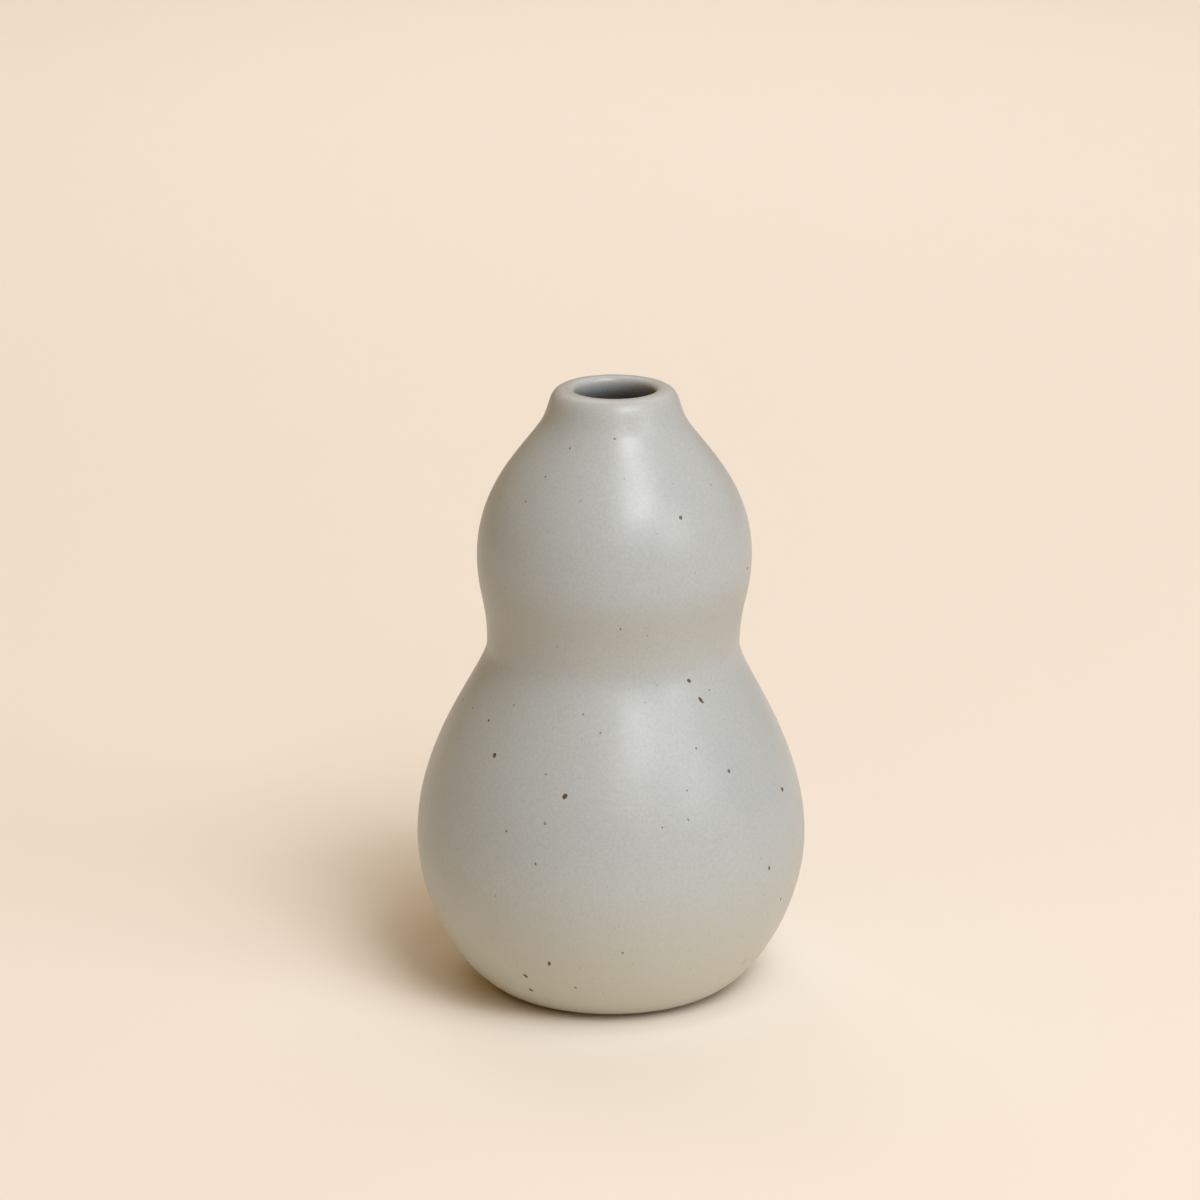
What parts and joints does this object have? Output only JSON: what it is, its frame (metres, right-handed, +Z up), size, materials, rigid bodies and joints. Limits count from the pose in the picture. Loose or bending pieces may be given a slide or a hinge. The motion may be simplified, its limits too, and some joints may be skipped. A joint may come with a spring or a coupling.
{
  "type": "ceramic bud vase",
  "caption": "Double-gourd stoneware bud vase with a thick rounded lip, a narrow mouth, a hollow inside and a satin glaze over a bare clay foot ring.",
  "frame": {"origin": "centre of the foot ring, on the surface that the vase stands on", "axes": "+Z up along the axis that the vase is turned about, +X to the right and -Y to the front"},
  "size_m": [0.0884, 0.0884, 0.14],
  "materials": {
    "fired_clay": "unglazed, fine sandy stoneware",
    "satin_glaze": "satin-matt blue-grey glaze with dark iron specks",
    "liner_glaze": "satin blue-grey glaze, slightly glossier inside"
  },
  "bodies": {
    "root": {"clay_body": "fired_clay", "outer_glaze": "satin_glaze", "liner_glaze": "liner_glaze", "base_glaze": "satin_glaze"}
  },
  "joints": []
}
